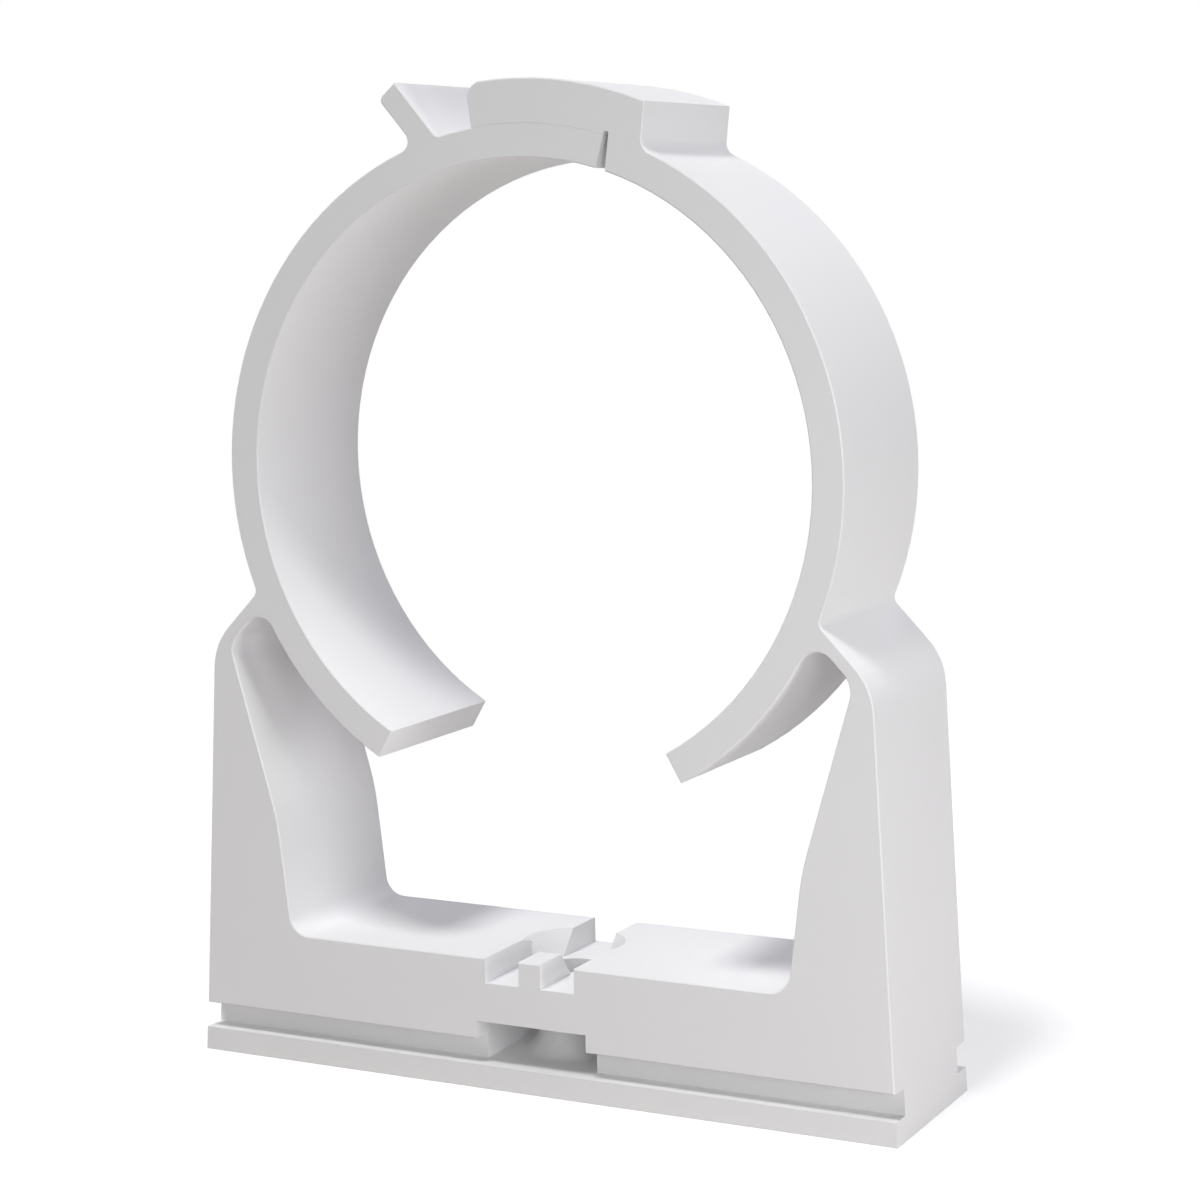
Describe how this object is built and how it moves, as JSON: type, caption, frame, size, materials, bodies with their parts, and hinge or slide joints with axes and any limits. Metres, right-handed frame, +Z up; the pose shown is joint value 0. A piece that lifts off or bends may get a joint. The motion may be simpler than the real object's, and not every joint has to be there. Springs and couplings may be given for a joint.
{
  "type": "pipe clip",
  "caption": "Moulded plastic pipe clip: a split ring with a hook closure stands on tapering legs over a grooved rail foot with a screw hole.",
  "frame": {"origin": "centre of the foot's underside", "axes": "+X along the foot towards the hook end, +Y along the pipe from the slotted front to the notched back, +Z up through the ring"},
  "size_m": [0.064, 0.016, 0.0822],
  "materials": {
    "white_plastic": "white polypropylene as it leaves the mould, fine satin grain"
  },
  "bodies": {
    "root": {"pipe_clip": "white_plastic"}
  },
  "joints": []
}
